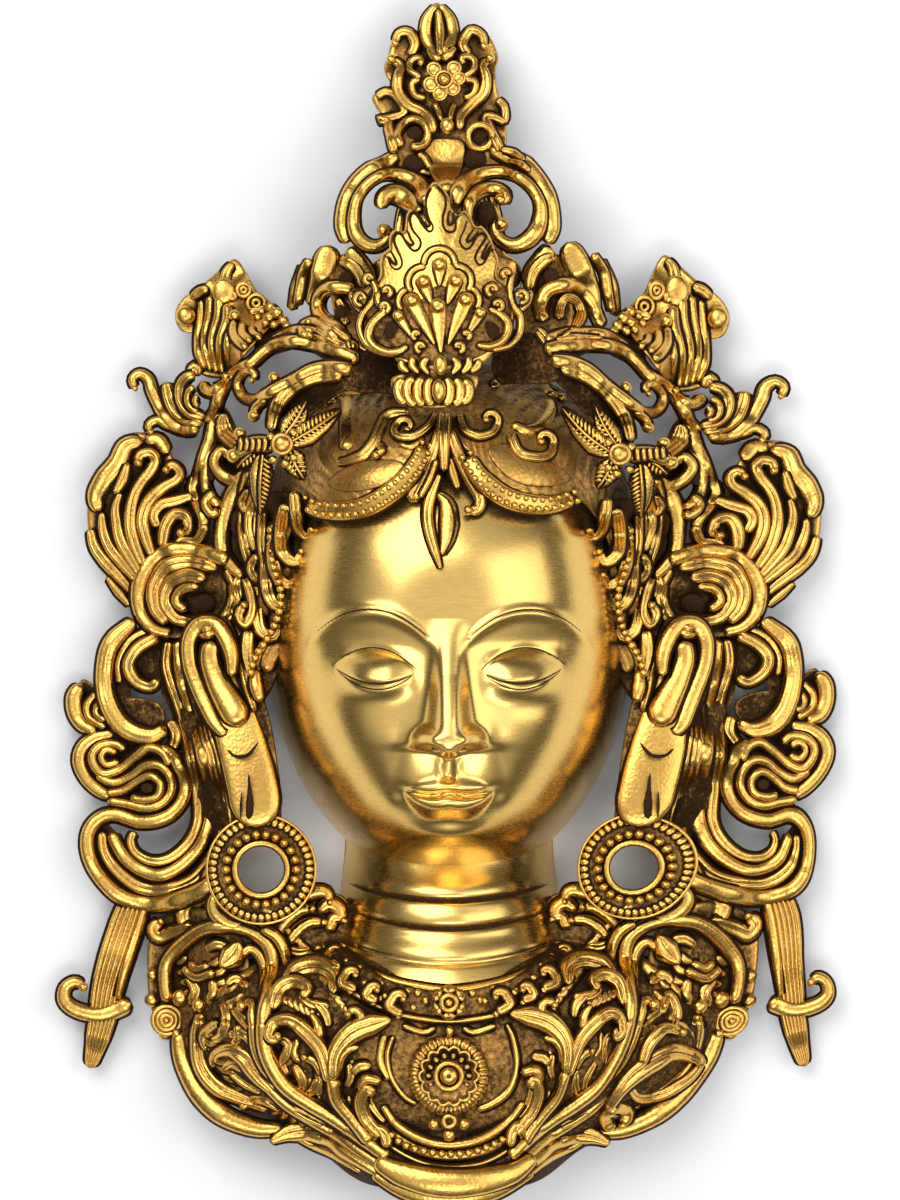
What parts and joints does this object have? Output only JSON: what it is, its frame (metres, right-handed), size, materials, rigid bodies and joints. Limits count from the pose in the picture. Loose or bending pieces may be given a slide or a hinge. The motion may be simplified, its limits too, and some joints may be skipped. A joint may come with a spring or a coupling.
{
  "type": "wall mask",
  "caption": "Cast brass wall mask of a calm crowned head with long ears, ring earrings, ribbons, leaf openwork and a vine-covered shoulder piece, hollow and open behind.",
  "frame": {"origin": "middle of the mask's flat back, in the plane of its back rim", "axes": "+Z is the way the face looks, +Y runs from the chin to the crown, +X runs across the face; the mask lies on its back"},
  "size_m": [0.2838, 0.4306, 0.0961],
  "materials": {
    "antique_brass": "cast brass, polished on the high places and dark brown with old patina in the hollows"
  },
  "bodies": {
    "root": {"mask_casting": "antique_brass"}
  },
  "joints": []
}
